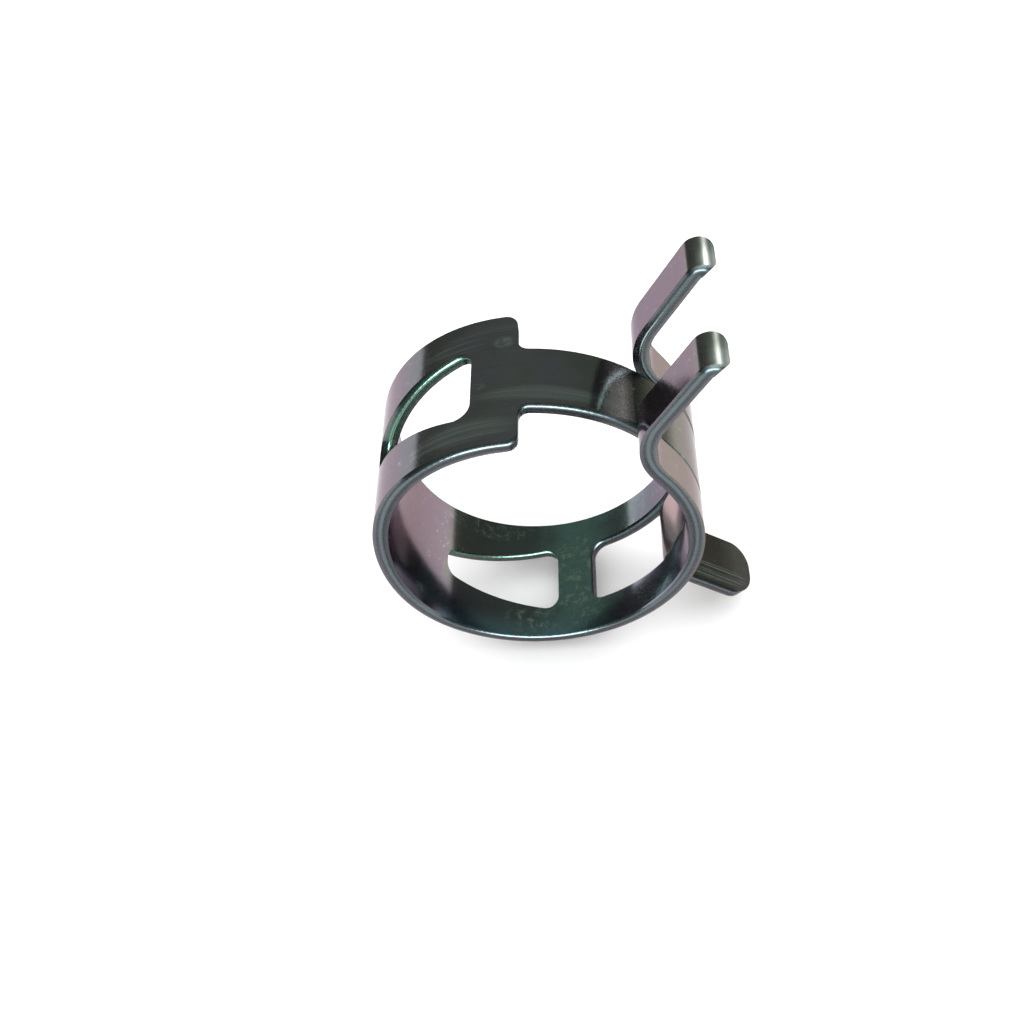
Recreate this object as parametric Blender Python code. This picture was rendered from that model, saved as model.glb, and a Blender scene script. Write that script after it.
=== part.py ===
"""Self-tightening hose clamp: one strip of spring steel, stamped flat and then formed.

The strip has a narrow tongue on one end and a fork of two prongs on the other. It is rolled into a
ring that overlaps itself, so the tongue lies in the slot between the prongs. Pliers squeeze the tab
at the tongue's end towards the ears at the fork's ends, and the ring opens.

Metres, +Z up. The bore's axis is Y and its centre is the origin. The clamp stands on the bottom of
its ring and the tip of its tab. Every piece is drawn flat, as in the stamped blank, with lengths
measured along the strip from the middle of the back, and is then bent to the formed shape.
"""

import math

import bmesh
import bpy
import numpy as np

MM = 0.001

# The strip.
BAND_WIDTH = 12.0 * MM
THICKNESS = 1.25 * MM
TONGUE_WIDTH = 5.2 * MM
SLOT_WIDTH = 6.2 * MM

# The formed ring, on the middle of the strip's thickness. It is slightly oval and slightly
# three-lobed, as a ring that is rolled from a strip of uneven stiffness comes out.
MEAN_RADIUS = 13.65 * MM
OVAL = 0.0702
OVAL_ANGLE = 74.4
LOBE = 0.0129
LOBE_ANGLE = 57.3
BACK_ANGLE = 191.7

# The two ends. Directions are measured round the ring from the middle of the back.
FORK_LEAVES_RING_AT = 174.4
FORK_FLATTER_RADIUS = 15.7 * MM
FORK_STRAIGHT = 0.8 * MM
KNEE_STARTS_AT = 292.4
KNEE_RADIUS = 5.5 * MM
EAR_DIRECTION = 229.7
EAR_LENGTH = 6.0 * MM
HOOK_RADIUS = 0.72 * MM
HOOK_TURN = 86.0
HOOK_END = 0.35 * MM
TONGUE_LEAVES_RING_AT = 209.6
TONGUE_STRAIGHT = 3.0 * MM
TAB_DIRECTION = 229.6
TAB_BEND_RADIUS = 2.9 * MM
TAB_LENGTH = 8.0 * MM

# Windows, shoulder and slot, by their distance along the strip from the middle of the back.
WINDOW_TIP_AT = 8.3 * MM
WINDOW_TIP_RADIUS = 1.26 * MM
WINDOW_END_AT = 20.3 * MM
WINDOW_END_HALF_WIDTH = 3.45 * MM
SHOULDER_AT = 23.7 * MM
SLOT_END_AT = 23.7 * MM
WINDOW_CORNER = 1.25 * MM
SHOULDER_CORNER = 0.9 * MM
TONGUE_ROOT_FILLET = 0.8 * MM
EAR_TIP_CORNER = 0.85 * MM
TAB_TIP_CORNER = 2.2 * MM

# Where the strip is divided into the regions that bend against each other.
BACK_ENDS_AT = 9.9 * MM
RAILS_END_AT = 18.9 * MM
SHOULDER_ENDS_AT = 24.9 * MM
TONGUE_CUTS = (34.5 * MM, 44.0 * MM)
BRIDGE_ENDS_AT = 26.2 * MM
FORK_CUTS = (35.5 * MM, 44.8 * MM)
GAP = 0.3 * MM

# Fineness of the mesh.
WALK_STEP = 0.05 * MM
BEND_STEP = 0.6 * MM
ARC_STEP = 12.0


def clear_scene():
    for obj in list(bpy.data.objects):
        bpy.data.objects.remove(obj, do_unlink=True)


def new_collection(name):
    collection = bpy.data.collections.new(name)
    bpy.context.scene.collection.children.link(collection)
    return collection


# ---- the formed line ------------------------------------------------------------------------


def ring_radius(from_back):
    """Radius of the strip's middle line at an angle round the ring from the middle of the back."""
    oval = -OVAL * math.cos(2 * math.radians(from_back - OVAL_ANGLE + 90))
    lobe = LOBE * math.cos(3 * math.radians(from_back - LOBE_ANGLE))
    return MEAN_RADIUS * (1 + oval + lobe)


def ring_point(from_back):
    angle = math.radians(BACK_ANGLE + from_back)
    return ring_radius(from_back) * np.array([math.cos(angle), math.sin(angle)])


class FormedLine:
    """The strip's middle line in the XZ plane, walked from the middle of the back towards one end.

    side is +1 towards the fork, which runs anticlockwise, and -1 towards the tongue.
    """

    def __init__(self, side, leaves_ring_at):
        self.side = side
        steps = 4 * int(leaves_ring_at)
        self.points = [ring_point(side * leaves_ring_at * k / steps) for k in range(steps + 1)]
        last = self.points[-1] - self.points[-2]
        self.heading = math.degrees(math.atan2(last[1], last[0]))

    def arc(self, radius, turn):
        """Adds an arc that turns the heading by turn degrees, anticlockwise when positive."""
        steps = max(2, round(abs(math.radians(turn)) * radius / WALK_STEP))
        for _ in range(steps):
            self.heading += turn / steps / 2
            chord = 2 * radius * math.sin(abs(math.radians(turn)) / steps / 2)
            self.step(chord)
            self.heading += turn / steps / 2

    def straight(self, length):
        steps = max(1, round(length / WALK_STEP))
        for _ in range(steps):
            self.step(length / steps)

    def step(self, length):
        angle = math.radians(self.heading)
        self.points.append(self.points[-1] + length * np.array([math.cos(angle), math.sin(angle)]))

    def turn_to(self, heading):
        """The smallest turn from the present heading to another one."""
        return (heading - self.heading + 180) % 360 - 180

    def finish(self):
        points = np.array(self.points)
        chords = np.linalg.norm(np.diff(points, axis=0), axis=1)
        self.along = np.concatenate([[0], np.cumsum(chords)])
        self.x = points[:, 0]
        self.z = points[:, 1]
        tangent_x = np.gradient(self.x, self.along)
        tangent_z = np.gradient(self.z, self.along)
        size = np.hypot(tangent_x, tangent_z)
        # The normal points out of the ring.
        self.normal_x = self.side * tangent_z / size
        self.normal_z = -self.side * tangent_x / size
        self.length = self.along[-1]
        return self

    def at(self, distance, height):
        """(x, z) of the point at a distance along the line and a height above its middle."""
        x = np.interp(distance, self.along, self.x)
        z = np.interp(distance, self.along, self.z)
        normal_x = np.interp(distance, self.along, self.normal_x)
        normal_z = np.interp(distance, self.along, self.normal_z)
        return x + height * normal_x, z + height * normal_z


def fork_line():
    line = FormedLine(1, FORK_LEAVES_RING_AT)
    line.arc(FORK_FLATTER_RADIUS, line.turn_to(BACK_ANGLE + KNEE_STARTS_AT))
    line.straight(FORK_STRAIGHT)
    line.arc(KNEE_RADIUS, line.turn_to(BACK_ANGLE + EAR_DIRECTION))
    line.straight(EAR_LENGTH)
    line.arc(HOOK_RADIUS, -HOOK_TURN)
    line.straight(HOOK_END)
    return line.finish()


def tongue_line():
    line = FormedLine(-1, TONGUE_LEAVES_RING_AT)
    line.straight(TONGUE_STRAIGHT)
    line.arc(TAB_BEND_RADIUS, line.turn_to(BACK_ANGLE - TAB_DIRECTION))
    line.straight(TAB_LENGTH)
    return line.finish()


class WholeLine:
    """Both halves as one line: distances are positive towards the fork, negative to the tongue."""

    def __init__(self, fork, tongue):
        self.fork = fork
        self.tongue = tongue

    def at(self, distance, height):
        half = self.fork if distance >= 0 else self.tongue
        return half.at(abs(distance), height)


# ---- outlines in the flat blank -------------------------------------------------------------


def rounded(corners):
    """Points of a polygon whose corners (x, y, radius) are rounded by arcs."""
    points = []
    for k, (x, y, radius) in enumerate(corners):
        here = np.array([x, y])
        if radius == 0:
            points.append(here)
            continue
        before = np.array(corners[k - 1][:2]) - here
        after = np.array(corners[(k + 1) % len(corners)][:2]) - here
        before /= np.linalg.norm(before)
        after /= np.linalg.norm(after)
        half_angle = math.acos(float(np.clip(before @ after, -1, 1))) / 2
        reach = radius / math.tan(half_angle)
        middle = before + after
        centre = here + middle / np.linalg.norm(middle) * radius / math.sin(half_angle)
        first = here + before * reach - centre
        start = math.atan2(first[1], first[0])
        last = here + after * reach - centre
        sweep = (math.atan2(last[1], last[0]) - start + math.pi) % (2 * math.pi) - math.pi
        steps = max(2, round(abs(math.degrees(sweep)) / ARC_STEP))
        for j in range(steps + 1):
            angle = start + sweep * j / steps
            points.append(centre + radius * np.array([math.cos(angle), math.sin(angle)]))
    return points


def window_half_width(distance):
    """Half the window's width on its straight tapering edge."""
    reach = WINDOW_END_AT - WINDOW_TIP_AT - WINDOW_TIP_RADIUS
    slope = (WINDOW_END_HALF_WIDTH - WINDOW_TIP_RADIUS) / reach
    return WINDOW_END_HALF_WIDTH - slope * (WINDOW_END_AT - distance)


def back_outline():
    """The full-width back, with the round tip of a window let into each end."""
    half = BAND_WIDTH / 2
    end = BACK_ENDS_AT - GAP / 2
    tip = [
        (end, -window_half_width(end), 0),
        (WINDOW_TIP_AT, -WINDOW_TIP_RADIUS, 0.999 * WINDOW_TIP_RADIUS),
        (WINDOW_TIP_AT, WINDOW_TIP_RADIUS, 0.999 * WINDOW_TIP_RADIUS),
        (end, window_half_width(end), 0),
    ]
    right = [(end, -half, 0), *tip, (end, half, 0)]
    left = [(-x, -y, radius) for x, y, radius in right]
    return rounded(right + left)


def rail_outline():
    """A rail beside a window, on the +y side."""
    half = BAND_WIDTH / 2
    start = BACK_ENDS_AT + GAP / 2
    end = RAILS_END_AT - GAP / 2
    corners = [
        (start, window_half_width(start), 0),
        (end, window_half_width(end), 0),
        (end, half, 0),
        (start, half, 0),
    ]
    return rounded(corners)


def window_end_corners():
    """The wide end of a window, entered from its -y edge and left along its +y edge."""
    start = RAILS_END_AT + GAP / 2
    half = window_half_width(start)
    return [
        (start, half, 0),
        (WINDOW_END_AT, WINDOW_END_HALF_WIDTH, WINDOW_CORNER),
        (WINDOW_END_AT, -WINDOW_END_HALF_WIDTH, WINDOW_CORNER),
        (start, -half, 0),
    ]


def shoulder_outline():
    """The full-width plate where the band steps down to the tongue."""
    half = BAND_WIDTH / 2
    tongue = TONGUE_WIDTH / 2
    start = RAILS_END_AT + GAP / 2
    end = SHOULDER_ENDS_AT - GAP / 2
    corners = [
        (start, -half, 0),
        (SHOULDER_AT, -half, SHOULDER_CORNER),
        (SHOULDER_AT, -tongue, TONGUE_ROOT_FILLET),
        (end, -tongue, 0),
        (end, tongue, 0),
        (SHOULDER_AT, tongue, TONGUE_ROOT_FILLET),
        (SHOULDER_AT, half, SHOULDER_CORNER),
        (start, half, 0),
    ]
    return rounded(corners + window_end_corners())


def bridge_outline():
    """The cross-piece between the other window and the slot."""
    half = BAND_WIDTH / 2
    slot = SLOT_WIDTH / 2
    start = RAILS_END_AT + GAP / 2
    end = BRIDGE_ENDS_AT - GAP / 2
    corners = [
        (start, -half, 0),
        (end, -half, 0),
        (end, -slot, 0),
        (SLOT_END_AT, -slot, WINDOW_CORNER),
        (SLOT_END_AT, slot, WINDOW_CORNER),
        (end, slot, 0),
        (end, half, 0),
        (start, half, 0),
    ]
    return rounded(corners + window_end_corners())


def bar_outline(start, end, low, high, tip_corner=0.0):
    """A plain length of strip, whose far corners can be rounded."""
    corners = [(start, low, 0), (end, low, tip_corner), (end, high, tip_corner), (start, high, 0)]
    return rounded(corners)


# ---- solids ---------------------------------------------------------------------------------


def flat_plate(name, outline):
    """The outline as a plate of the strip's thickness, lying flat."""
    curve = bpy.data.curves.new(name + "_outline", "CURVE")
    curve.dimensions = "2D"
    curve.fill_mode = "BOTH"
    curve.extrude = THICKNESS / 2
    spline = curve.splines.new("POLY")
    spline.points.add(len(outline) - 1)
    for point, (x, y) in zip(spline.points, outline):
        point.co = (x, y, 0, 1)
    spline.use_cyclic_u = True
    obj = bpy.data.objects.new(name + "_outline", curve)
    bpy.context.scene.collection.objects.link(obj)
    graph = bpy.context.evaluated_depsgraph_get()
    mesh = bpy.data.meshes.new_from_object(obj.evaluated_get(graph))
    mesh.name = name
    bpy.data.objects.remove(obj, do_unlink=True)
    return mesh


def cut_for_bending(bm):
    """Cuts the plate across at even steps, so that it can follow the formed line."""
    low = min(v.co.x for v in bm.verts)
    high = max(v.co.x for v in bm.verts)
    steps = max(1, round((high - low) / BEND_STEP))
    for k in range(1, steps):
        geometry = bm.verts[:] + bm.edges[:] + bm.faces[:]
        place = (low + (high - low) * k / steps, 0, 0)
        bmesh.ops.bisect_plane(bm, geom=geometry, dist=1e-7, plane_co=place, plane_no=(1, 0, 0))


def formed_mesh(name, outline, line, direction, pivot):
    """The plate bent along the line. Its points are stored relative to the pivot.

    direction is +1 where the outline's x runs towards the fork, and -1 towards the tongue.
    """
    mesh = flat_plate(name, outline)
    bm = bmesh.new()
    bm.from_mesh(mesh)
    bmesh.ops.remove_doubles(bm, verts=bm.verts[:], dist=1e-6)
    bmesh.ops.dissolve_limit(bm, angle_limit=0.01, verts=bm.verts[:], edges=bm.edges[:])
    cut_for_bending(bm)
    bmesh.ops.triangulate(bm, faces=bm.faces[:])
    for vert in bm.verts:
        x, z = line.at(direction * vert.co.x, vert.co.z)
        vert.co = (x - pivot[0], vert.co.y, z - pivot[1])
    bmesh.ops.recalc_face_normals(bm, faces=bm.faces[:])
    if bm.calc_volume(signed=True) < 0:
        bmesh.ops.reverse_faces(bm, faces=bm.faces[:])
    bm.to_mesh(mesh)
    bm.free()
    mesh.shade_smooth()
    mesh.set_sharp_from_angle(angle=math.radians(40))
    return mesh


def plated_steel(name, colour, roughness):
    """Spring steel with an iridescent zinc coat, in the tint that the region shows."""
    material = bpy.data.materials.new(name)
    material.use_nodes = True
    shader = material.node_tree.nodes["Principled BSDF"]
    shader.inputs["Base Color"].default_value = (*colour, 1)
    shader.inputs["Metallic"].default_value = 1.0
    shader.inputs["Roughness"].default_value = roughness
    return material


MAUVE = (0.45, 0.36, 0.42)
SLATE = (0.20, 0.24, 0.27)
OLIVE = (0.32, 0.34, 0.25)
TEAL = (0.18, 0.29, 0.28)


# ---- assembly -------------------------------------------------------------------------------


class Assembly:
    """Regions of the strip, each group of them carried by an empty on its bending axis."""

    def __init__(self, line):
        self.line = line
        self.collection = new_collection("hose_clamp")
        self.pivots = {}

    def group(self, name, parent, cut):
        """An empty at the cut where this group bends against its parent."""
        empty = bpy.data.objects.new(name, None)
        empty.empty_display_size = 2 * MM
        self.collection.objects.link(empty)
        here = np.array(self.line.at(cut, 0)) if cut is not None else np.zeros(2)
        there = self.pivots[parent][1] if parent else np.zeros(2)
        empty.parent = self.pivots[parent][0] if parent else None
        empty.location = (here[0] - there[0], 0, here[1] - there[1])
        self.pivots[name] = (empty, here)

    def piece(self, name, group, outline, direction, colour, roughness=0.3):
        empty, pivot = self.pivots[group]
        mesh = formed_mesh(name, outline, self.line, direction, pivot)
        mesh.materials.append(plated_steel(name, colour, roughness))
        obj = bpy.data.objects.new(name, mesh)
        self.collection.objects.link(obj)
        obj.parent = empty


def add_back(assembly):
    assembly.group("back", None, None)
    assembly.piece("back_band", "back", back_outline(), 1, MAUVE)


def add_rails(assembly, prefix, direction, colour):
    """The two rails beside a window, front and rear."""
    group = prefix + "_window"
    assembly.group(group, "back", direction * BACK_ENDS_AT)
    rear = rail_outline()
    front = [(x, -y) for x, y in rear]
    assembly.piece(group + "_front_rail", group, front, direction, colour)
    assembly.piece(group + "_rear_rail", group, rear, direction, colour)


def add_tongue_side(assembly):
    """The shoulder plate, the tongue in three stretches, and the tab bent out from its end."""
    assembly.group("shoulder", "upper_window", -RAILS_END_AT)
    assembly.piece("shoulder_plate", "shoulder", shoulder_outline(), -1, SLATE)
    half = TONGUE_WIDTH / 2
    length = assembly.line.tongue.length
    tab_starts_at = length - TAB_LENGTH
    stretches = (
        ("tongue_root", SHOULDER_ENDS_AT, TONGUE_CUTS[0]),
        ("tongue_middle", TONGUE_CUTS[0], TONGUE_CUTS[1]),
        ("tongue_end", TONGUE_CUTS[1], tab_starts_at),
    )
    parent = "shoulder"
    for name, start, end in stretches:
        assembly.group(name + "_bend", parent, -start)
        outline = bar_outline(start + GAP / 2, end - GAP / 2, -half, half)
        assembly.piece(name, name + "_bend", outline, -1, SLATE)
        parent = name + "_bend"
    tab = bar_outline(tab_starts_at + GAP / 2, length, -half, half, TAB_TIP_CORNER)
    assembly.piece("release_tab", parent, tab, -1, SLATE)


def add_fork_side(assembly):
    """The bridge, and the fork's two prongs, whose ends are bent out as ears."""
    assembly.group("bridge", "lower_window", RAILS_END_AT)
    assembly.piece("bridge_plate", "bridge", bridge_outline(), 1, TEAL)
    slot = SLOT_WIDTH / 2
    half = BAND_WIDTH / 2
    ear_ends_at = assembly.line.fork.length
    hook_length = math.radians(HOOK_TURN) * HOOK_RADIUS + HOOK_END
    ear_starts_at = ear_ends_at - hook_length - EAR_LENGTH
    stretches = (
        ("root", BRIDGE_ENDS_AT, FORK_CUTS[0]),
        ("middle", FORK_CUTS[0], FORK_CUTS[1]),
        ("end", FORK_CUTS[1], ear_starts_at),
    )
    parent = "bridge"
    for word, start, end in stretches:
        group = "fork_" + word + "_bend"
        assembly.group(group, parent, start)
        for place, low, high in (("front", -half, -slot), ("rear", slot, half)):
            outline = bar_outline(start + GAP / 2, end - GAP / 2, low, high)
            assembly.piece(place + "_prong_" + word, group, outline, 1, MAUVE)
        parent = group
    for place, low, high in (("front", -half, -slot), ("rear", slot, half)):
        outline = bar_outline(ear_starts_at + GAP / 2, ear_ends_at, low, high, EAR_TIP_CORNER)
        assembly.piece(place + "_ear", parent, outline, 1, MAUVE)


def main():
    clear_scene()
    assembly = Assembly(WholeLine(fork_line(), tongue_line()))
    add_back(assembly)
    add_rails(assembly, "upper", -1, OLIVE)
    add_rails(assembly, "lower", 1, TEAL)
    add_tongue_side(assembly)
    add_fork_side(assembly)


main()
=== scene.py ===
"""Looks of the self-tightening hose clamp: the whole strip as smooth bevelled steel, plated and lit.

The strip is drawn as its stamped blank, with windows, shoulders, tongue and fork, its sheared edges
are rounded, and it is then bent along the same formed line as the CAD model. It is one continuous
surface, cut into pieces where one joint's bend ends, so that each piece bends across one joint.

Metres, +Z up, the bore's axis is Y. Distances along the strip start at the middle of the back and
are positive towards the fork and negative towards the tongue.
"""

import math
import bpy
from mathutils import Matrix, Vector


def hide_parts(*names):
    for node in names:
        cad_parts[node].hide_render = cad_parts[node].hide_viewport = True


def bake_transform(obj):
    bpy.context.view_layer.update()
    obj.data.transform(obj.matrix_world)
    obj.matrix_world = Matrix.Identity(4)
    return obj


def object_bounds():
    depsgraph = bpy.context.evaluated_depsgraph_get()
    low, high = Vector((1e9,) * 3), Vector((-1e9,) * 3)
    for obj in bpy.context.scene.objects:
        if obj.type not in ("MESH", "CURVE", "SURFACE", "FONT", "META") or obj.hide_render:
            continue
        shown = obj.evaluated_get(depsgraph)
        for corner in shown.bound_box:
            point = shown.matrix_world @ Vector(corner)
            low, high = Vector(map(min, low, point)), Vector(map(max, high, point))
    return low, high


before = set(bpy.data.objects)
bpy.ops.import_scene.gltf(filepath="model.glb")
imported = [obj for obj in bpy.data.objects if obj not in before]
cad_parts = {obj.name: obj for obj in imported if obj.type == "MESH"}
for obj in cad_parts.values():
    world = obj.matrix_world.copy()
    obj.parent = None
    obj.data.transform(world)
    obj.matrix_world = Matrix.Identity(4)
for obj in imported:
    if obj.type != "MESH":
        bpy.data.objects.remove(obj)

from types import SimpleNamespace

import bmesh
import bpy
import numpy as np
from mathutils import Matrix, Vector

MM = 0.001
CAD_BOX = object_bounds()

# The strip, as in the CAD model.
BAND_WIDTH = 12.0 * MM
THICKNESS = 1.25 * MM
TONGUE_WIDTH = 5.2 * MM
SLOT_WIDTH = 6.2 * MM
MEAN_RADIUS = 13.65 * MM
OVAL = 0.0702
OVAL_ANGLE = 74.4
LOBE = 0.0129
LOBE_ANGLE = 57.3
BACK_ANGLE = 191.7
FORK_LEAVES_RING_AT = 174.4
FORK_FLATTER_RADIUS = 15.7 * MM
FORK_STRAIGHT = 0.8 * MM
KNEE_STARTS_AT = 292.4
KNEE_RADIUS = 5.5 * MM
EAR_DIRECTION = 229.7
EAR_LENGTH = 5.99 * MM
HOOK_RADIUS = 0.72 * MM
HOOK_TURN = 98.0
HOOK_END = 0.25 * MM
TONGUE_LEAVES_RING_AT = 209.6
TONGUE_STRAIGHT = 3.0 * MM
TAB_DIRECTION = 229.6
TAB_BEND_RADIUS = 2.9 * MM
TAB_LENGTH = 8.0 * MM
WINDOW_TIP_AT = 8.3 * MM
WINDOW_TIP_RADIUS = 1.26 * MM
WINDOW_END_AT = 20.3 * MM
WINDOW_END_HALF_WIDTH = 3.45 * MM
SHOULDER_AT = 23.7 * MM
SLOT_END_AT = 23.7 * MM
WINDOW_CORNER = 1.25 * MM
SHOULDER_CORNER = 0.9 * MM
TONGUE_ROOT_FILLET = 0.8 * MM
EAR_FRONT_CORNER = 0.6 * MM
EAR_REAR_CORNER = 0.85 * MM
TAB_TIP_CORNER = 2.2 * MM

# Where the CAD model's regions meet, and how far the bend reaches to either side of each.
TONGUE_SIDE_CUTS = (9.9 * MM, 18.9 * MM, 24.9 * MM, 34.5 * MM, 44.0 * MM)
TONGUE_SIDE_BENDS = (6.0 * MM, 3.0 * MM, 3.0 * MM, 5.2 * MM, 4.3 * MM)
FORK_SIDE_CUTS = (9.9 * MM, 18.9 * MM, 26.2 * MM, 35.5 * MM, 44.8 * MM)
FORK_SIDE_BENDS = (5.7 * MM, 3.3 * MM, 4.0 * MM, 5.0 * MM, 4.3 * MM)

# Finish of the mesh.
EDGE_ROUNDING = 0.42 * MM
EDGE_SEGMENTS = 6
WALK_STEP = 0.02 * MM
ARC_STEP = 7.0
MOST_TURN = 2.5
MOST_STEP = 0.7 * MM


# ---- the formed line ------------------------------------------------------------------------


def ring_point(from_back):
    """The ring's middle line, slightly oval, at an angle in degrees from the middle of the back."""
    oval = -OVAL * math.cos(2 * math.radians(from_back - OVAL_ANGLE + 90))
    lobe = LOBE * math.cos(3 * math.radians(from_back - LOBE_ANGLE))
    radius = MEAN_RADIUS * (1 + oval + lobe)
    angle = math.radians(BACK_ANGLE + from_back)
    return radius * np.array([math.cos(angle), math.sin(angle)])


class FormedLine:
    """The strip's middle line in the XZ plane, from the middle of the back towards one end."""

    def __init__(self, side, leaves_ring_at):
        self.side = side
        steps = 4 * int(leaves_ring_at)
        self.points = [ring_point(side * leaves_ring_at * k / steps) for k in range(steps + 1)]
        last = self.points[-1] - self.points[-2]
        self.heading = math.degrees(math.atan2(last[1], last[0]))

    def arc(self, radius, turn):
        steps = max(2, round(abs(math.radians(turn)) * radius / WALK_STEP))
        chord = 2 * radius * math.sin(abs(math.radians(turn)) / steps / 2)
        for _ in range(steps):
            self.heading += turn / steps / 2
            self.step(chord)
            self.heading += turn / steps / 2

    def straight(self, length):
        steps = max(1, round(length / WALK_STEP))
        for _ in range(steps):
            self.step(length / steps)

    def step(self, length):
        angle = math.radians(self.heading)
        self.points.append(self.points[-1] + length * np.array([math.cos(angle), math.sin(angle)]))

    def turn_to(self, heading):
        return (heading - self.heading + 180) % 360 - 180

    def finish(self):
        points = np.array(self.points)
        chords = np.linalg.norm(np.diff(points, axis=0), axis=1)
        self.along = np.concatenate([[0], np.cumsum(chords)])
        self.points = points
        tangent = np.gradient(points, self.along, axis=0)
        self.tangent = tangent / np.linalg.norm(tangent, axis=1)[:, None]
        self.length = self.along[-1]
        return self

    def frame_at(self, distance):
        """(middle point, tangent away from the back, normal out of the ring) at a distance."""
        point = [np.interp(distance, self.along, self.points[:, k]) for k in range(2)]
        tangent = np.array([np.interp(distance, self.along, self.tangent[:, k]) for k in range(2)])
        tangent /= np.linalg.norm(tangent)
        normal = self.side * np.array([tangent[1], -tangent[0]])
        return np.array(point), tangent, normal

    def stations(self, start, end):
        """Distances between start and end at which a bent plate needs a cut across it."""
        headings = np.unwrap(np.arctan2(self.tangent[:, 1], self.tangent[:, 0]))
        found = []
        last_at, last_heading = start, np.interp(start, self.along, headings)
        for at, heading in zip(self.along, headings):
            if not start < at < end - 0.2 * WALK_STEP:
                continue
            turned = abs(math.degrees(heading - last_heading))
            if turned >= MOST_TURN or at - last_at >= MOST_STEP:
                found.append(at)
                last_at, last_heading = at, heading
        return found


def fork_line():
    """The ring, the flatter stretch below the knee, the knee, and a straight ear with its hook."""
    line = FormedLine(1, FORK_LEAVES_RING_AT)
    line.arc(FORK_FLATTER_RADIUS, line.turn_to(BACK_ANGLE + KNEE_STARTS_AT))
    line.straight(FORK_STRAIGHT)
    line.arc(KNEE_RADIUS, line.turn_to(BACK_ANGLE + EAR_DIRECTION))
    line.straight(EAR_LENGTH)
    line.arc(HOOK_RADIUS, -HOOK_TURN)
    line.straight(HOOK_END)
    return line.finish()


def tongue_line():
    """The ring, a straight stretch through the fork, and the bent-out tab."""
    line = FormedLine(-1, TONGUE_LEAVES_RING_AT)
    line.straight(TONGUE_STRAIGHT)
    line.arc(TAB_BEND_RADIUS, line.turn_to(BACK_ANGLE - TAB_DIRECTION))
    line.straight(TAB_LENGTH)
    return line.finish()


LINES = {1: fork_line(), -1: tongue_line()}


# ---- the stamped blank ----------------------------------------------------------------------


def rounded(corners):
    """Points of a polygon whose corners (x, y, radius) are rounded by arcs."""
    points = []
    for k, (x, y, radius) in enumerate(corners):
        here = np.array([x, y])
        before = np.array(corners[k - 1][:2]) - here
        after = np.array(corners[(k + 1) % len(corners)][:2]) - here
        before /= np.linalg.norm(before)
        after /= np.linalg.norm(after)
        half_angle = math.acos(float(np.clip(before @ after, -1, 1))) / 2
        reach = radius / math.tan(half_angle)
        middle = before + after
        centre = here + middle / np.linalg.norm(middle) * radius / math.sin(half_angle)
        first = here + before * reach - centre
        last = here + after * reach - centre
        start = math.atan2(first[1], first[0])
        sweep = (math.atan2(last[1], last[0]) - start + math.pi) % (2 * math.pi) - math.pi
        steps = max(2, round(abs(math.degrees(sweep)) / ARC_STEP))
        for j in range(steps + 1):
            angle = start + sweep * j / steps
            points.append(centre + radius * np.array([math.cos(angle), math.sin(angle)]))
    return points


def strip_outline():
    """The stamped strip from the tab's end to the ears' ends, without its windows."""
    half = BAND_WIDTH / 2
    tongue = TONGUE_WIDTH / 2
    slot = SLOT_WIDTH / 2
    tab_end = -LINES[-1].length
    ear_end = LINES[1].length
    corners = [
        (tab_end, -tongue, TAB_TIP_CORNER),
        (-SHOULDER_AT, -tongue, TONGUE_ROOT_FILLET),
        (-SHOULDER_AT, -half, SHOULDER_CORNER),
        (ear_end, -half, EAR_FRONT_CORNER),
        (ear_end, -slot, EAR_REAR_CORNER),
        (SLOT_END_AT, -slot, WINDOW_CORNER),
        (SLOT_END_AT, slot, WINDOW_CORNER),
        (ear_end, slot, EAR_FRONT_CORNER),
        (ear_end, half, EAR_REAR_CORNER),
        (-SHOULDER_AT, half, SHOULDER_CORNER),
        (-SHOULDER_AT, tongue, TONGUE_ROOT_FILLET),
        (tab_end, tongue, TAB_TIP_CORNER),
    ]
    return rounded(corners)


def window_outline(side):
    """A tapered window; its two tip corners nearly meet, and so make one round tip."""
    tip = 0.999 * WINDOW_TIP_RADIUS
    corners = [
        (side * WINDOW_TIP_AT, -WINDOW_TIP_RADIUS, tip),
        (side * WINDOW_TIP_AT, WINDOW_TIP_RADIUS, tip),
        (side * WINDOW_END_AT, WINDOW_END_HALF_WIDTH, WINDOW_CORNER),
        (side * WINDOW_END_AT, -WINDOW_END_HALF_WIDTH, WINDOW_CORNER),
    ]
    return rounded(corners)


def is_rim_edge(edge):
    """An edge where a broad face meets a sheared edge face."""
    if len(edge.link_faces) != 2:
        return False
    heights = sorted(abs(face.normal.z) for face in edge.link_faces)
    return heights[0] < 0.5 < heights[1]


def sharp_blank():
    """The whole strip flat, as a closed mesh with sharp edges."""
    curve = bpy.data.curves.new("blank", "CURVE")
    curve.dimensions = "2D"
    curve.fill_mode = "BOTH"
    curve.extrude = THICKNESS / 2
    for outline in (strip_outline(), window_outline(1), window_outline(-1)):
        spline = curve.splines.new("POLY")
        spline.points.add(len(outline) - 1)
        for point, (x, y) in zip(spline.points, outline):
            point.co = (x, y, 0, 1)
        spline.use_cyclic_u = True
    obj = bpy.data.objects.new("blank", curve)
    bpy.context.scene.collection.objects.link(obj)
    graph = bpy.context.evaluated_depsgraph_get()
    mesh = bpy.data.meshes.new_from_object(obj.evaluated_get(graph))
    bpy.data.objects.remove(obj, do_unlink=True)
    bm = bmesh.new()
    bm.from_mesh(mesh)
    bpy.data.meshes.remove(mesh)
    bmesh.ops.remove_doubles(bm, verts=bm.verts[:], dist=1e-6)
    bmesh.ops.dissolve_limit(bm, angle_limit=0.01, verts=bm.verts[:], edges=bm.edges[:])
    bm.normal_update()
    return bm


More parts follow.
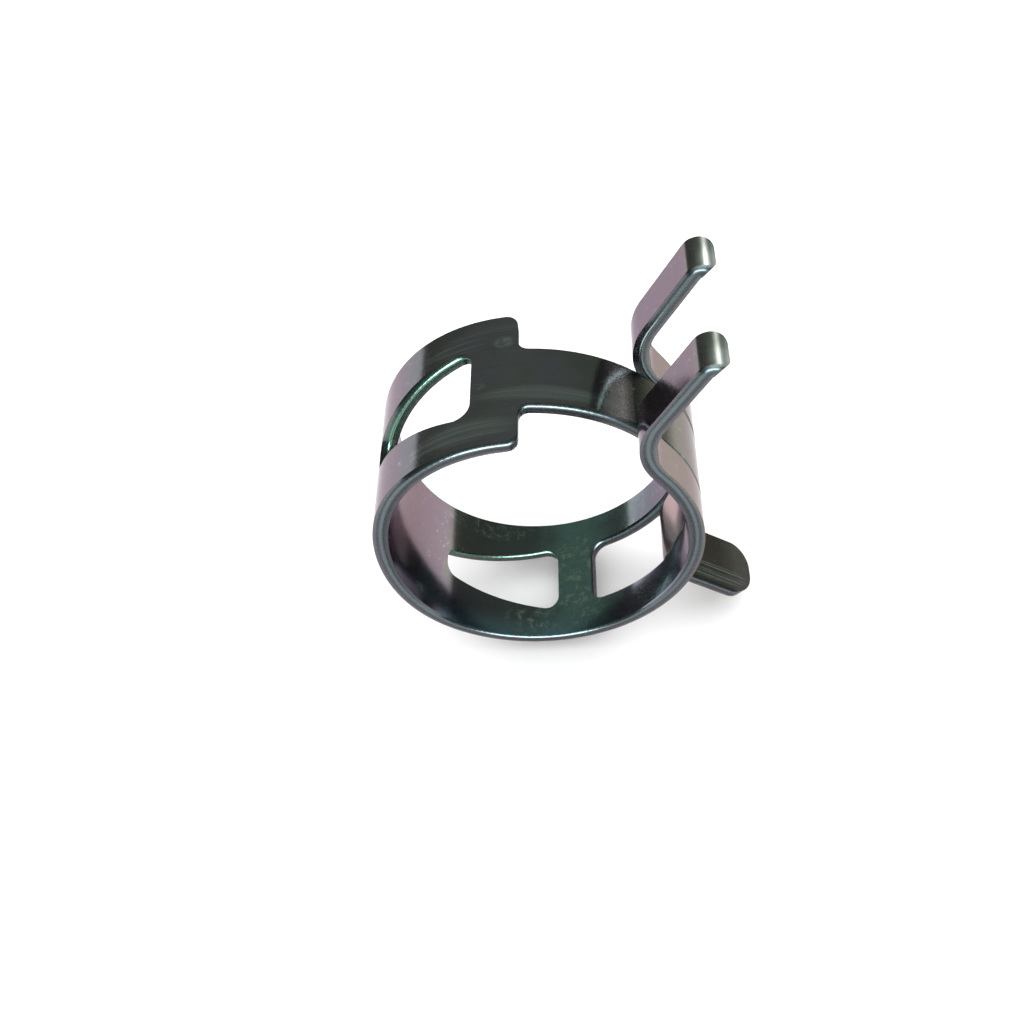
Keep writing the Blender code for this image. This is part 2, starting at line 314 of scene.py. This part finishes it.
def flat_blank():
    """The whole strip flat, with its sheared edges rounded."""
    bm = sharp_blank()
    rims = [edge for edge in bm.edges if is_rim_edge(edge)]
    bmesh.ops.bevel(
        bm,
        geom=rims,
        offset=EDGE_ROUNDING,
        offset_type="OFFSET",
        segments=EDGE_SEGMENTS,
        profile=0.5,
        affect="EDGES",
        clamp_overlap=True,
    )
    return bm


# ---- bent pieces ----------------------------------------------------------------------------


def cut_across(bm, at, clear_inner=False, clear_outer=False):
    bmesh.ops.bisect_plane(
        bm,
        geom=bm.verts[:] + bm.edges[:] + bm.faces[:],
        dist=1e-7,
        plane_co=(at, 0, 0),
        plane_no=(1, 0, 0),
        clear_inner=clear_inner,
        clear_outer=clear_outer,
    )


def flat_normal(vert):
    """The rounded plate's true normal at a vertex of the flat blank."""
    core = THICKNESS / 2 - EDGE_ROUNDING
    rise = np.clip((abs(vert.co.z) - core) / EDGE_ROUNDING, 0, 1)
    outward = Vector((vert.normal.x, vert.normal.y, 0))
    if rise > 0.9999 or outward.length < 1e-6:
        return Vector((0, 0, math.copysign(1, vert.co.z)))
    outward.normalize()
    level = math.sqrt(1 - rise * rise)
    return Vector((outward.x * level, outward.y * level, math.copysign(rise, vert.co.z)))


def bend(point, side):
    """(place, x axis, z axis) of the formed strip at a point of the flat blank."""
    middle, tangent, normal = LINES[side].frame_at(abs(point.x))
    place = middle + point.z * normal
    along = side * tangent
    return (
        Vector((place[0], point.y, place[1])),
        Vector((along[0], 0, along[1])),
        Vector((normal[0], 0, normal[1])),
    )


def flat_stretch(blank, side, start, end, keep):
    """The strip between two distances, still flat, cut across wherever it will bend."""
    bm = blank.copy()
    low, high = sorted((side * start, side * end))
    cut_across(bm, low, clear_inner=True)
    cut_across(bm, high, clear_outer=True)
    for at in LINES[side].stations(start, end):
        cut_across(bm, side * at)
    if keep:
        other = [vert for vert in bm.verts if vert.co.y * keep < 0]
        bmesh.ops.delete(bm, geom=other, context="VERTS")
    bm.normal_update()
    normals = bm.verts.layers.float_vector.new("flat_normal")
    coords = bm.verts.layers.float_vector.new("blank_mm")
    for vert in bm.verts:
        vert[normals] = flat_normal(vert)
        vert[coords] = vert.co / MM
    return bm


def close_ends(bm):
    """Fills the cut ends with caps, which are marked because they are shaded flat."""
    cap_mark = bm.faces.layers.int.new("cap")
    open_edges = [edge for edge in bm.edges if edge.is_boundary]
    for face in bmesh.ops.edgeloop_fill(bm, edges=open_edges)["faces"]:
        face[cap_mark] = 1
    bmesh.ops.triangulate(bm, faces=bm.faces[:])


def bent_normals(bm, side):
    """The formed strip's true normal at each corner of each face, from the turned-over blank."""
    cap_mark = bm.faces.layers.int["cap"]
    normals = bm.verts.layers.float_vector["flat_normal"]
    found = []
    for face in bm.faces:
        across = -face.normal
        for loop in face.loops:
            _, x_axis, z_axis = bend(loop.vert.co, side)
            flat = across if face[cap_mark] else Vector(loop.vert[normals])
            normal = x_axis * flat.x + Vector((0, flat.y, 0)) + z_axis * flat.z
            found.append(normal.normalized())
    return found


def bent_piece(name, blank, side, start, end, keep=0):
    """The stretch of strip between two distances as one closed, smooth mesh.

    keep is -1 or +1 where only the front or the rear prong is wanted.
    """
    bm = flat_stretch(blank, side, start, end, keep)
    close_ends(bm)
    # Bending takes the blank's axes to a left-handed set, so every face is turned over first.
    bmesh.ops.reverse_faces(bm, faces=bm.faces[:])
    bm.normal_update()
    normals = bent_normals(bm, side)
    for vert in bm.verts:
        vert.co = bend(vert.co, side)[0]
    if bm.calc_volume(signed=True) < 0:
        raise ValueError(name + " is inside out")
    bm.verts.layers.float_vector.remove(bm.verts.layers.float_vector["flat_normal"])
    bm.faces.layers.int.remove(bm.faces.layers.int["cap"])
    mesh = bpy.data.meshes.new(name)
    bm.to_mesh(mesh)
    bm.free()
    mesh.shade_smooth()
    mesh.normals_split_custom_set(normals)
    obj = bpy.data.objects.new(name, mesh)
    bpy.context.scene.collection.objects.link(obj)
    return obj


def on_line(side, distance):
    """A point of the formed middle line."""
    middle = LINES[side].frame_at(distance)[0]
    return (middle[0], 0, middle[1])


# ---- material -------------------------------------------------------------------------------


class Nodes:
    """A short way to write a node tree."""

    def __init__(self, tree):
        self.tree = tree
        self.tree.nodes.clear()

    def add(self, kind, **settings):
        node = self.tree.nodes.new(kind)
        for key, value in settings.items():
            setattr(node, key, value)
        return node

    def link(self, source, target):
        self.tree.links.new(source, target)

    def put(self, socket, value):
        """Sets a socket to a number, or links it to another socket."""
        if isinstance(value, bpy.types.NodeSocket):
            self.link(value, socket)
        else:
            socket.default_value = value

    def math(self, operation, first, second=0.0):
        node = self.add("ShaderNodeMath", operation=operation)
        self.put(node.inputs[0], first)
        self.put(node.inputs[1], second)
        return node.outputs[0]

    def times(self, first, *others):
        """The product of numbers and sockets."""
        for other in others:
            first = self.math("MULTIPLY", first, other)
        return first

    def rest_of(self, share):
        return self.math("SUBTRACT", 1.0, share)

    def ramp(self, value, low, high, to_low=0.0, to_high=1.0):
        """A smooth step from to_low to to_high as value goes from low to high."""
        node = self.add("ShaderNodeMapRange", interpolation_type="SMOOTHSTEP")
        for socket, number in zip(node.inputs[:5], (value, low, high, to_low, to_high)):
            self.put(socket, number)
        return node.outputs[0]

    def mix(self, share, first, second):
        """A colour that goes from first to second as share goes from 0 to 1."""
        node = self.add("ShaderNodeMix", data_type="RGBA")
        self.put(node.inputs[0], share)
        for socket, value in ((node.inputs[6], first), (node.inputs[7], second)):
            self.put(socket, (*value, 1) if isinstance(value, tuple) else value)
        return node.outputs[2]

    def noise(self, vector, scale, detail, roughness, stretch=(1, 1, 1)):
        mapping = self.add("ShaderNodeMapping")
        mapping.inputs["Scale"].default_value = stretch
        self.link(vector, mapping.inputs["Vector"])
        node = self.add("ShaderNodeTexNoise")
        self.link(mapping.outputs[0], node.inputs["Vector"])
        node.inputs["Scale"].default_value = scale
        node.inputs["Detail"].default_value = detail
        node.inputs["Roughness"].default_value = roughness
        return node.outputs[0]


# The plating's colour as linear reflectance, (distance along the strip in mm, colour), tongue to fork,
# with a painted reflection across the tongue.
OUTER_TINTS = (
    (-62.5, (0.42, 0.39, 0.35)),
    (-60.5, (0.25, 0.22, 0.18)),
    (-49.0, (0.25, 0.22, 0.18)),
    (-45.0, (0.20, 0.21, 0.155)),
    (-37.0, (0.21, 0.21, 0.175)),
    (-35.5, (0.05, 0.062, 0.045)),
    (-32.2, (0.057, 0.07, 0.05)),
    # A pale stripe across the tongue: a painted reflection of a lamp.
    (-31.6, (0.80, 0.70, 0.70)),
    (-30.4, (0.70, 0.62, 0.61)),
    (-29.6, (0.30, 0.33, 0.28)),
    (-23.0, (0.42, 0.43, 0.42)),
    (-17.0, (0.28, 0.28, 0.26)),
    (-15.2, (0.17, 0.18, 0.20)),
    (-12.5, (0.22, 0.19, 0.215)),
    (-6.0, (0.22, 0.175, 0.20)),
    (20.0, (0.26, 0.21, 0.225)),
    (36.0, (0.25, 0.215, 0.20)),
    (47.0, (0.25, 0.215, 0.18)),
    (55.0, (0.24, 0.205, 0.185)),
    (65.0, (0.24, 0.21, 0.22)),
)
INNER_TINTS = (
    (-60.0, (0.30, 0.25, 0.24)),
    (-42.0, (0.64, 0.47, 0.45)),
    (-20.0, (0.30, 0.28, 0.28)),
    (0.0, (0.24, 0.175, 0.185)),
    (7.5, (0.22, 0.17, 0.20)),
    (9.5, (0.22, 0.22, 0.19)),
    (18.0, (0.22, 0.27, 0.26)),
    (21.0, (0.34, 0.58, 0.52)),
    (24.0, (0.34, 0.58, 0.52)),
    (27.0, (0.26, 0.34, 0.33)),
    (31.0, (0.14, 0.145, 0.175)),
    (36.0, (0.20, 0.165, 0.21)),
    (52.0, (0.22, 0.175, 0.21)),
    (56.0, (0.20, 0.165, 0.20)),
    (63.3, (0.20, 0.16, 0.185)),
    # From here to the ears' ends: wear, and a painted highlight on the hooks.
    (63.6, (0.22, 0.22, 0.18)),
    (64.2, (0.36, 0.39, 0.34)),
    (64.6, (0.55, 0.62, 0.56)),
)

# Other tints, in the same linear reflectance.
# Painted shade on the inner face towards its near rim.
NEAR_RIM_SHADE_VIOLET = (0.13, 0.13, 0.18)
# Painted reflections on the inner face towards its near rim.
NEAR_RIM_REFLECTION_TEAL = (0.32, 0.58, 0.64)
NEAR_RIM_REFLECTION_LILAC = (0.52, 0.50, 0.64)
RIM_TINT = (0.108, 0.13, 0.14)
# Pale tint on the sheared edges' roundings: wear, and a painted highlight.
ROUNDING_WEAR_AND_HIGHLIGHT = (0.26, 0.36, 0.38)
# Pale tint on the ears' tips: wear, and a painted highlight, lighter toward their front.
WORN_TIP_AND_HIGHLIGHT = (0.95, 1.00, 0.95)
WINDOW_WALL_TINT = (0.13, 0.22, 0.175)
GREEN_BLOOM = (0.70, 0.95, 0.70)
PALE_STREAK = (0.78, 0.88, 0.82)
SLATE_CLOUD = (0.46, 0.42, 0.50)
GRAZING_TINT = (0.62, 0.56, 0.60)
DARK_STREAK = (0.17, 0.18, 0.15)
DARK_PIT = (0.07, 0.055, 0.06)

# The stretch of strip that the tints span, and places along or across it, each from where to
# where its effect grows, in mm.
TINT_RANGE = (-66.0, 66.0)
BENT_FORK = (40.0, 30.0)
EAR_ENDS = (63.7, 64.3)
# Across the ears, how the wear and painted highlight at their tips fade from the front side, in mm.
EAR_FRONT_WEAR_AND_HIGHLIGHT = (2.3, 0.7)
EAR_HOOKS = (63.2, 64.0)
SHOULDER_CLOUDS = ((-15.0, -18.0), (-32.0, -26.0))
UNDER_EARS = ((-29.0, -31.5), (-40.0, -37.0))
WINDOWS = ((5.0, 8.0), (22.0, 20.0))
WINDOW_WIDTH = (5.6, 4.2)

# Noises over the flat strip: scale per mm, detail, roughness, stretch.
NOISES = {
    "clouds": (0.35, 3.0, 0.5),
    "streaks": (1.0, 4.0, 0.65, (0.05, 2.4, 1.0)),
    "fine_streaks": (1.0, 2.0, 0.5, (0.09, 7.0, 1.0)),
    "grain": (5.5, 3.0, 0.6),
    "speckle": (2.4, 3.0, 0.7),
    "crystals": (1.5, 5.0, 0.72),
    "clumps": (0.8, 2.0, 0.5),
}

# Painted shade and painted reflections on the inner face towards its near rim: colour, (across from,
# to, share from, to), start, end.
NEAR_RIM = (
    (NEAR_RIM_SHADE_VIOLET, (0.0, -5.6, 0.0, 0.8), -12.0, 13.0),
    (NEAR_RIM_REFLECTION_TEAL, (-3.6, -5.8, 0.0, 0.7), 10.0, 27.0),
    (NEAR_RIM_REFLECTION_LILAC, (-1.0, -5.0, 0.0, 0.6), 28.0, 38.0),
)

# Marks on the plating: (middle, reach, strength), the first two as (mm along, mm across).
BLOOMS = (
    ((22.6, -0.6), (4.0, 6.6), 1.0),
    ((17.6, -4.4), (3.2, 1.8), 0.9),
    ((13.5, 5.0), (6.5, 1.3), 0.5),
)
ROLLED_STREAKS = (
    ((-26.0, -1.7), (7.0, 0.8), 0.5),
    ((-19.5, -4.6), (5.0, 1.1), 0.5),
    ((-19.0, 3.9), (3.0, 0.9), 0.6),
    ((-21.5, 4.9), (4.0, 0.4), 0.4),
    ((-59.0, -1.3), (6.0, 1.2), 0.75),
)
SHEENS = (((-26.0, -1.6), (6.0, 0.8), 0.42), ((-20.0, -4.4), (4.5, 1.2), 0.3))
SMUDGES = (((-22.7, 3.4), (0.9, 0.7), 0.75), ((-20.9, -0.6), (0.7, 0.4), 0.3))


def tint_along(nodes, distance, stops):
    """A colour that changes along the strip, through the given stops."""
    low, high = TINT_RANGE
    ramp = nodes.add("ShaderNodeValToRGB")
    share = nodes.add("ShaderNodeMapRange")
    for socket, number in zip(share.inputs[:5], (distance, low, high, 0.0, 1.0)):
        nodes.put(socket, number)
    nodes.link(share.outputs[0], ramp.inputs[0])
    elements = ramp.color_ramp.elements
    while len(elements) < len(stops):
        elements.new(0.5)
    for element, (at, colour) in zip(elements, stops):
        element.position = (at - low) / (high - low)
        element.color = (*colour, 1)
    return ramp.outputs[0]


def strip_places(nodes):
    """Sockets that say where on the flat strip a point is, and the noises there, by name."""
    blank = nodes.add("ShaderNodeAttribute", attribute_name="blank_mm").outputs["Vector"]
    parts = nodes.add("ShaderNodeSeparateXYZ")
    nodes.link(blank, parts.inputs[0])
    at = SimpleNamespace()
    at.distance, at.across, at.height = parts.outputs
    at.outside = nodes.ramp(at.height, -0.2, 0.2)
    at.inside = nodes.rest_of(at.outside)
    half = 0.5 * THICKNESS / MM
    rounding = EDGE_ROUNDING / MM
    at.on_edge = nodes.ramp(nodes.math("ABSOLUTE", at.height), half, half - 0.8 * rounding)
    for name, settings in NOISES.items():
        setattr(at, name, nodes.noise(blank, *settings))
    return at


def between(nodes, value, limits):
    """1 between two smooth limits, (outer, inner) at either end, and 0 outside them."""
    return nodes.times(*(nodes.ramp(value, *limit) for limit in limits))


def patch(nodes, at, centre, reach, strength):
    """Strength in the middle of an oval patch of the strip, (mm along, mm across), 0 at its reach."""
    offsets = []
    for value, middle, size in zip((at.distance, at.across), centre, reach):
        offset = nodes.math("DIVIDE", nodes.math("SUBTRACT", value, middle), size)
        offsets.append(nodes.times(offset, offset))
    return nodes.ramp(nodes.math("ADD", *offsets), 1.0, 0.1, 0.0, strength)


def face_tint(nodes, at):
    """Both broad faces' colour along the strip, its painted reflection and painted highlight included,
    with rolling streaks, specks and pits.
    """
    shift = nodes.ramp(at.clouds, 0.3, 0.7, -0.9, 0.9)
    wobble = nodes.times(shift, nodes.ramp(at.distance, *BENT_FORK))
    outer = tint_along(nodes, at.distance, OUTER_TINTS)
    inner = tint_along(nodes, nodes.math("ADD", at.distance, wobble), INNER_TINTS)
    tint = nodes.mix(at.outside, inner, outer)
    tint = nodes.mix(nodes.ramp(at.streaks, 0.52, 0.75, 0.0, 0.30), tint, DARK_STREAK)
    tint = nodes.mix(nodes.ramp(at.speckle, 0.60, 0.72, 0.0, 0.22), tint, GREEN_BLOOM)
    pits = nodes.times(at.inside, nodes.ramp(at.speckle, 0.34, 0.27, 0.0, 0.7))
    return nodes.mix(pits, tint, DARK_PIT)


def with_zones(nodes, at, tint):
    """Adds painted shade and painted reflections on the inner face towards its near rim, the ears'
    tips with wear and a painted highlight strongest at their front, and the clouds on the shoulders.
    """
    # Painted shade and painted reflections on the inner face towards its near rim.
    for colour, from_rim, start, end in NEAR_RIM:
        limits = ((start - 3.0, start + 2.0), (end + 2.0, end - 3.0))
        near_rim = nodes.ramp(at.across, *from_rim)
        band = nodes.times(at.inside, near_rim, between(nodes, at.distance, limits))
        tint = nodes.mix(band, tint, colour)
    # The ears' tips: wear, and a painted highlight that is strongest toward their front.
    front_sides = (-0.5 * BAND_WIDTH / MM, 0.5 * SLOT_WIDTH / MM)
    ear_front = nodes.ramp(at.across, -1.0, 1.0, *front_sides)
    from_front = nodes.math("SUBTRACT", at.across, ear_front)
    ends = nodes.ramp(at.distance, *EAR_ENDS)
    tip_wear_and_highlight = nodes.times(ends, nodes.ramp(from_front, *EAR_FRONT_WEAR_AND_HIGHLIGHT), at.inside)
    tint = nodes.mix(tip_wear_and_highlight, tint, WORN_TIP_AND_HIGHLIGHT)
    clouds = nodes.ramp(at.clouds, 0.42, 0.62, 0.0, 0.45)
    slate = nodes.times(clouds, between(nodes, at.distance, SHOULDER_CLOUDS))
    return nodes.mix(slate, tint, SLATE_CLOUD)


def with_marks(nodes, at, tint):
    """Adds the green crust, rolling streaks, sheens and smudges at their places on the strip."""
    clumps = nodes.ramp(at.clumps, 0.40, 0.56, 0.2, 0.85)
    crust = nodes.times(nodes.ramp(at.crystals, 0.47, 0.60), clumps)
    thin_lines = nodes.ramp(at.fine_streaks, 0.44, 0.60)
    dabs = nodes.ramp(at.speckle, 0.35, 0.55)
    kinds = (
        (at.inside, BLOOMS, crust, GREEN_BLOOM),
        (at.outside, ROLLED_STREAKS, thin_lines, PALE_STREAK),
        (at.outside, SHEENS, 1.0, PALE_STREAK),
        (at.outside, SMUDGES, dabs, PALE_STREAK),
    )
    for face, places, texture, colour in kinds:
        for place in places:
            mark = nodes.times(face, patch(nodes, at, *place), texture)
            tint = nodes.mix(mark, tint, colour)
    return tint


def with_edges(nodes, at, tint):
    """Adds the sheared edges, greener in the windows, and their roundings, lighter with wear and a
    painted highlight.
    """
    in_windows = nodes.times(
        between(nodes, nodes.math("ABSOLUTE", at.distance), WINDOWS),
        nodes.ramp(nodes.math("ABSOLUTE", at.across), *WINDOW_WIDTH),
    )
    rim = nodes.mix(in_windows, RIM_TINT, WINDOW_WALL_TINT)
    rim = nodes.mix(nodes.ramp(at.speckle, 0.4, 0.7, 0.0, 0.12), rim, DARK_STREAK)
    tint = nodes.mix(at.on_edge, tint, rim)
    # The roundings made lighter: wear, and a painted highlight.
    on_rounding = nodes.times(at.on_edge, nodes.rest_of(at.on_edge))
    return nodes.mix(nodes.times(on_rounding, 1.1), tint, ROUNDING_WEAR_AND_HIGHLIGHT)


def roughness_of(nodes, at):
    """Grainy and nearly smooth, rougher on edges, on the ears' hooks and on the tongue under them."""
    parts = (
        nodes.times(at.on_edge, 0.12),
        nodes.ramp(at.distance, *EAR_HOOKS, 0.0, 0.2),
        nodes.times(between(nodes, at.distance, UNDER_EARS), 0.14),
    )
    rough = nodes.ramp(at.grain, 0.3, 0.8, 0.12, 0.19)
    for part in parts:
        rough = nodes.math("ADD", rough, part)
    return rough


def relief_of(nodes, at):
    """Fine grain and rolling streaks, fainter on the edges."""
    relief = nodes.math("ADD", nodes.times(at.grain, 0.4), nodes.times(at.streaks, 0.8))
    relief = nodes.times(relief, nodes.rest_of(nodes.times(at.on_edge, 0.7)))
    bump = nodes.add("ShaderNodeBump")
    bump.inputs["Strength"].default_value = 0.2
    bump.inputs["Distance"].default_value = 0.012 * MM
    nodes.link(relief, bump.inputs["Height"])
    return bump.outputs[0]


def plated_steel():
    """Iridescent zinc plate on rolled strip, mauve on the ring and green in the middle of the fork."""
    material = bpy.data.materials.new("iridescent_zinc_plate")
    material.use_nodes = True
    nodes = Nodes(material.node_tree)
    output = nodes.add("ShaderNodeOutputMaterial")
    shader = nodes.add("ShaderNodeBsdfPrincipled")
    nodes.link(shader.outputs[0], output.inputs["Surface"])
    at = strip_places(nodes)
    tint = face_tint(nodes, at)
    for add_detail in (with_zones, with_marks, with_edges):
        tint = add_detail(nodes, at, tint)
    nodes.link(tint, shader.inputs["Base Color"])
    shader.inputs["Metallic"].default_value = 1.0
    shader.inputs["Specular Tint"].default_value = (*GRAZING_TINT, 1)
    nodes.link(roughness_of(nodes, at), shader.inputs["Roughness"])
    nodes.link(relief_of(nodes, at), shader.inputs["Normal"])
    return material


# ---- the clamp ------------------------------------------------------------------------------

UPPER_BODIES = ("back", "upper_window", "shoulder", "tongue_root", "tongue_middle", "tongue_end")
LOWER_BODIES = ("back", "lower_window", "bridge", "fork_root", "fork_middle", "fork_end")


def chain_pieces(side, cuts, reaches, bodies):
    """For each joint of a chain: its two bodies, the piece's two ends, and where the bend is."""
    splits = [0.0] + [cut + reach for cut, reach in zip(cuts[:-1], reaches)] + [LINES[side].length]
    rows = []
    for k, (cut, reach) in enumerate(zip(cuts, reaches)):
        rows.append((bodies[k], bodies[k + 1], splits[k], splits[k + 1], cut - reach, cut + reach))
    return rows


def add_piece(name, blank, row, side, nodes, material, keep=0):
    body_a, body_b, start, end, bend_start, bend_end = row
    obj = bent_piece(name, blank, side, start, end, keep)
    obj.data.materials.append(material)
    on_line(side, bend_start)
    on_line(side, bend_end)
    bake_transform(obj)
    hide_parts(*nodes)


def add_tongue_side(blank, material):
    rails = ("upper_window_front_rail", "upper_window_rear_rail")
    plan = (
        ("upper_half_of_back", ("back_band", *rails), "mauve_zinc"),
        ("upper_window_and_shoulder", (*rails, "shoulder_plate"), "slate_zinc"),
        ("shoulder_and_tongue_root", ("shoulder_plate", "tongue_root"), "slate_zinc"),
        ("tongue_span", ("tongue_root", "tongue_middle"), "slate_zinc"),
        ("tongue_end_and_tab", ("tongue_middle", "tongue_end", "release_tab"), "slate_zinc"),
    )
    rows = chain_pieces(-1, TONGUE_SIDE_CUTS, TONGUE_SIDE_BENDS, UPPER_BODIES)
    for (name, nodes, slot), row in zip(plan, rows):
        add_piece(name, blank, row, -1, nodes, material)


def add_fork_side(blank, material):
    rails = ("lower_window_front_rail", "lower_window_rear_rail")
    roots = ("front_prong_root", "rear_prong_root")
    plan = (
        ("lower_half_of_back", ("back_band", *rails), "mauve_zinc"),
        ("lower_window_and_bridge", (*rails, "bridge_plate"), "teal_zinc"),
        ("bridge_and_prong_roots", ("bridge_plate", *roots), "teal_zinc"),
    )
    rows = chain_pieces(1, FORK_SIDE_CUTS, FORK_SIDE_BENDS, LOWER_BODIES)
    for (name, nodes, slot), row in zip(plan, rows):
        add_piece(name, blank, row, 1, nodes, material)
    for place, keep in (("front", -1), ("rear", 1)):
        span = (place + "_prong_root", place + "_prong_middle")
        end = (place + "_prong_middle", place + "_prong_end", place + "_ear")
        for name, nodes, row in (("_prong_span", span, rows[3]), ("_prong_end_and_ear", end, rows[4])):
            add_piece(place + name, blank, row, 1, nodes, material, keep)


def build_clamp():
    blank = flat_blank()
    material = plated_steel()
    add_tongue_side(blank, material)
    add_fork_side(blank, material)
    blank.free()


# ---- studio ---------------------------------------------------------------------------------

# The camera: degrees from the bore's axis, of roll and of lean, and where the picture is cut out.
VIEW_FROM_AXIS = 54.99
VIEW_DISTANCE = 90.36 * MM
VIEW_ROLL = 0.195
VIEW_LEAN = 3.9
VIEW_LENS = 37.62
VIEW_SHIFT = (-0.02471, -0.01773)

# The floor. The back stays where it is as the ring opens, so the ring's bottom drops by nearly
# this much, and the floor is lower by it.
FLOOR_SIZE = 3.0
FLOOR_COLOUR = (0.93, 0.93, 0.93)
OPENING_DROP = 1.9 * MM

# Lights: (size, place, power, colour), in metres and watts.
OVERHEAD = ((2.2, 2.2), (0, 0, 0.8), 34.0, (1.0, 1.0, 1.0))
WINDOW = ((0.6, 0.34), (-0.02, -0.3, 0.23), 9.0, (0.88, 1.0, 1.0))
EAR_LIGHT = ((0.1, 0.09), (0.14, 0.28, 0.245), 0.12, (1.0, 1.0, 0.98))

# The dim greenish room that lights and reflections come from, and the backdrop that the camera sees.
ROOM_COLOUR = (0.105, 0.118, 0.112)
BACKDROP_COLOUR = (0.90, 0.90, 0.90)


def add_camera():
    """Looks down at the standing clamp from the front, at an angle from the bore's axis."""
    angle = math.radians(VIEW_FROM_AXIS)
    lean = Matrix.Rotation(math.radians(VIEW_LEAN), 4, "Y")
    turn = Matrix.Rotation(math.radians(90) - angle, 4, "X")
    roll = Matrix.Rotation(math.radians(-VIEW_ROLL), 4, "Z")
    camera = bpy.data.objects.new("camera", bpy.data.cameras.new("camera"))
    bpy.context.scene.collection.objects.link(camera)
    camera.matrix_world = lean @ turn @ Matrix.Translation((0, 0, VIEW_DISTANCE)) @ roll
    camera.data.lens = VIEW_LENS
    camera.data.shift_x, camera.data.shift_y = VIEW_SHIFT
    camera.data.clip_start = 1 * MM
    bpy.context.scene.camera = camera


def add_floor():
    height = CAD_BOX[0].z - OPENING_DROP
    bpy.ops.mesh.primitive_plane_add(size=FLOOR_SIZE, location=(0, 0, height))
    floor = bpy.context.object
    floor.name = "floor"
    material = bpy.data.materials.new("floor")
    material.use_nodes = True
    shader = material.node_tree.nodes["Principled BSDF"]
    shader.inputs["Base Color"].default_value = (*FLOOR_COLOUR, 1)
    shader.inputs["Roughness"].default_value = 0.9
    shader.inputs["Specular IOR Level"].default_value = 0.1
    floor.data.materials.append(material)


def add_light(name, size, place, power, colour, in_reflections=True):
    """An area light aimed at the clamp, which either lights the floor or shows in the plating."""
    light = bpy.data.lights.new(name, "AREA")
    light.shape = "RECTANGLE"
    light.size, light.size_y = size
    light.energy = power
    light.color = colour
    obj = bpy.data.objects.new(name, light)
    bpy.context.scene.collection.objects.link(obj)
    obj.location = place
    obj.rotation_euler = Vector(place).to_track_quat("Z", "Y").to_euler()
    obj.visible_glossy = in_reflections
    obj.visible_diffuse = not in_reflections
    obj.visible_camera = False
    return obj


def add_world():
    """A dim room for lighting and reflections, and a plain pale backdrop to look at."""
    world = bpy.data.worlds.new("room")
    bpy.context.scene.world = world
    world.use_nodes = True
    nodes = Nodes(world.node_tree)
    output = nodes.add("ShaderNodeOutputWorld")
    room = nodes.add("ShaderNodeBackground")
    room.inputs["Color"].default_value = (*ROOM_COLOUR, 1)
    backdrop = nodes.add("ShaderNodeBackground")
    backdrop.inputs["Color"].default_value = (*BACKDROP_COLOUR, 1)
    choice = nodes.add("ShaderNodeMixShader")
    nodes.link(nodes.add("ShaderNodeLightPath").outputs["Is Camera Ray"], choice.inputs[0])
    nodes.link(room.outputs[0], choice.inputs[1])
    nodes.link(backdrop.outputs[0], choice.inputs[2])
    nodes.link(choice.outputs[0], output.inputs["Surface"])


def add_studio():
    add_camera()
    add_floor()
    add_world()
    add_light("overhead", *OVERHEAD, in_reflections=False)
    add_light("window", *WINDOW)
    ear_light = add_light("ear_light", *EAR_LIGHT)
    # Only the ears catch this light, as the hooks do in the photograph.
    ears = bpy.data.collections.new("ears")
    for name in ("front_prong_end_and_ear", "rear_prong_end_and_ear"):
        ears.objects.link(bpy.data.objects[name])
    ear_light.light_linking.receiver_collection = ears
    bpy.context.scene.view_settings.view_transform = "Standard"


build_clamp()
add_studio()
